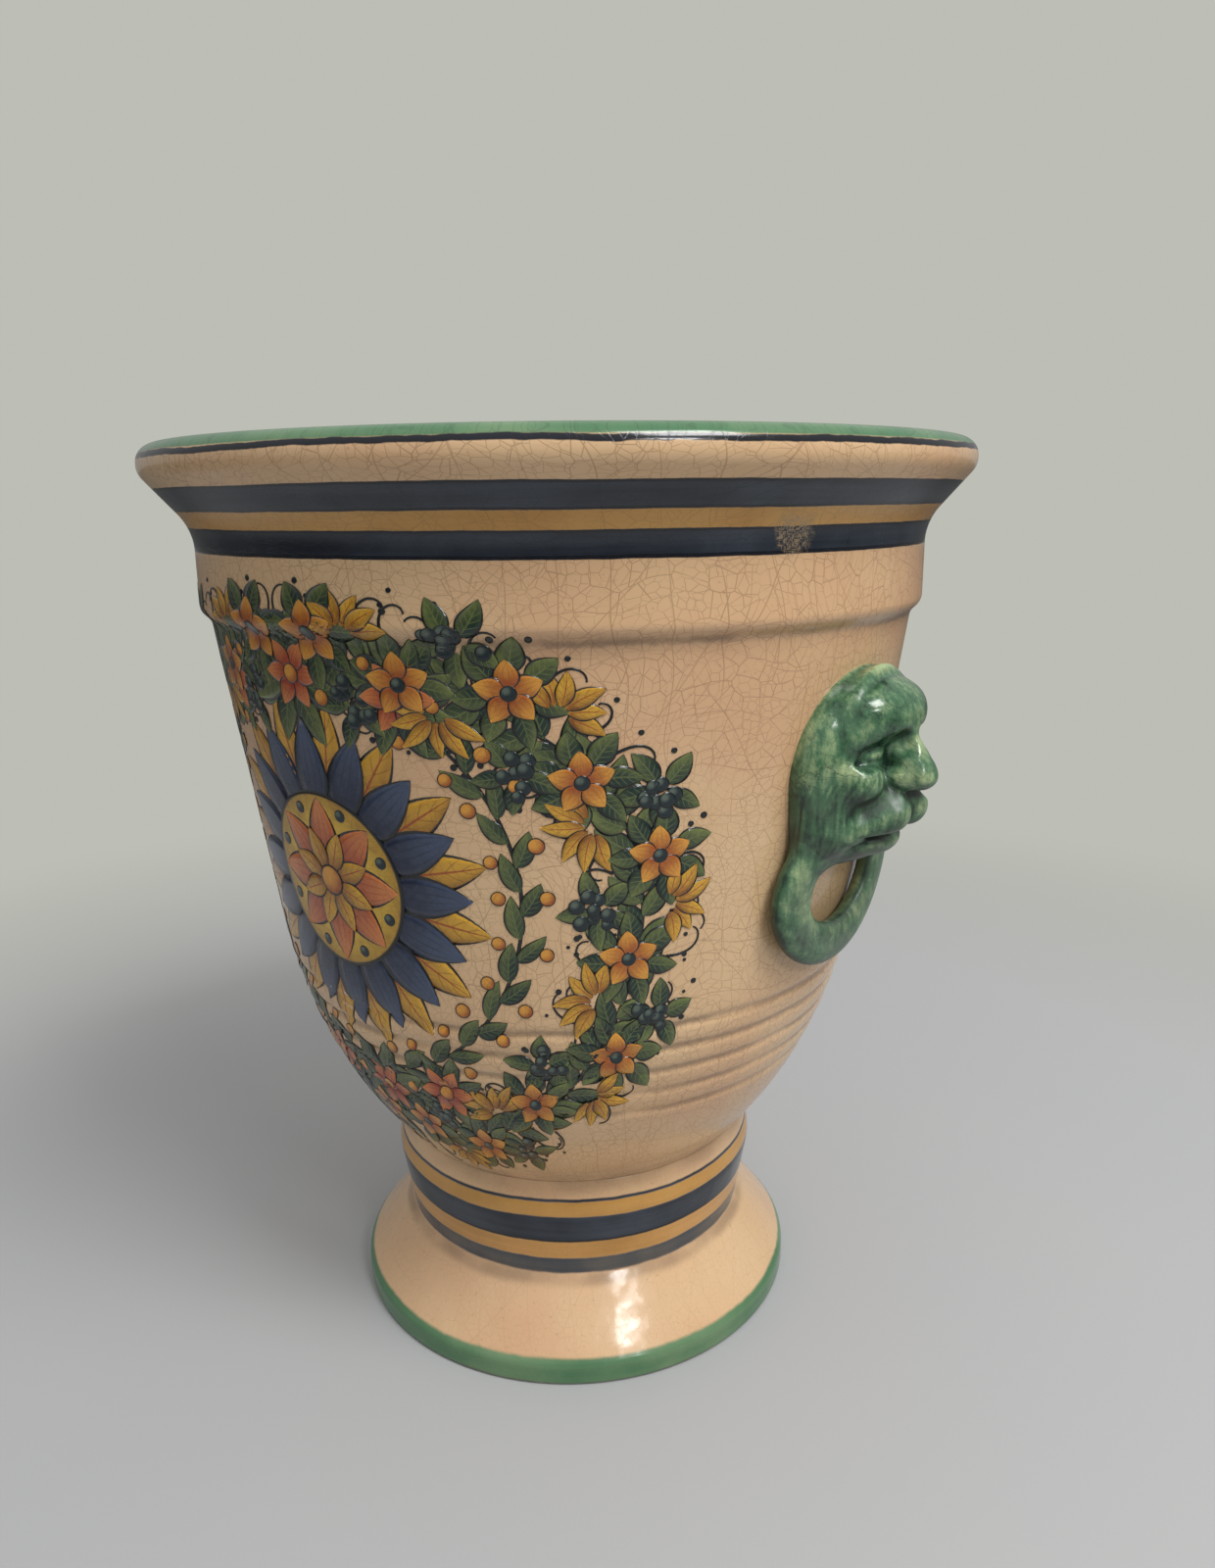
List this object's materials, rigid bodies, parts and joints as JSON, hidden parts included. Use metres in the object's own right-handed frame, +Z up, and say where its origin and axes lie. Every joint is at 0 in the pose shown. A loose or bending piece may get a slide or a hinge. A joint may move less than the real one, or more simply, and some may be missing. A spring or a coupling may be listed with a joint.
{
  "type": "cachepot",
  "caption": "Footed, flared earthenware cachepot with a turned collar and foot, a lion mask on each side and a fixed ring under each mask, for holding a potted plant.",
  "frame": {"origin": "on the ground under the middle of the foot", "axes": "+Z up along the bowl's axis, +X and -X towards the masks, -Y towards the decorated front"},
  "size_m": [0.2458, 0.2384, 0.2688],
  "materials": {
    "glazed_body": "crackled peach glaze",
    "green_glaze": "mottled copper-green glaze"
  },
  "bodies": {
    "root": {"bowl": "glazed_body", "pedestal_foot": "glazed_body", "mask_right": "green_glaze", "mask_left": "green_glaze", "ring_right": "green_glaze", "ring_left": "green_glaze"}
  },
  "joints": []
}
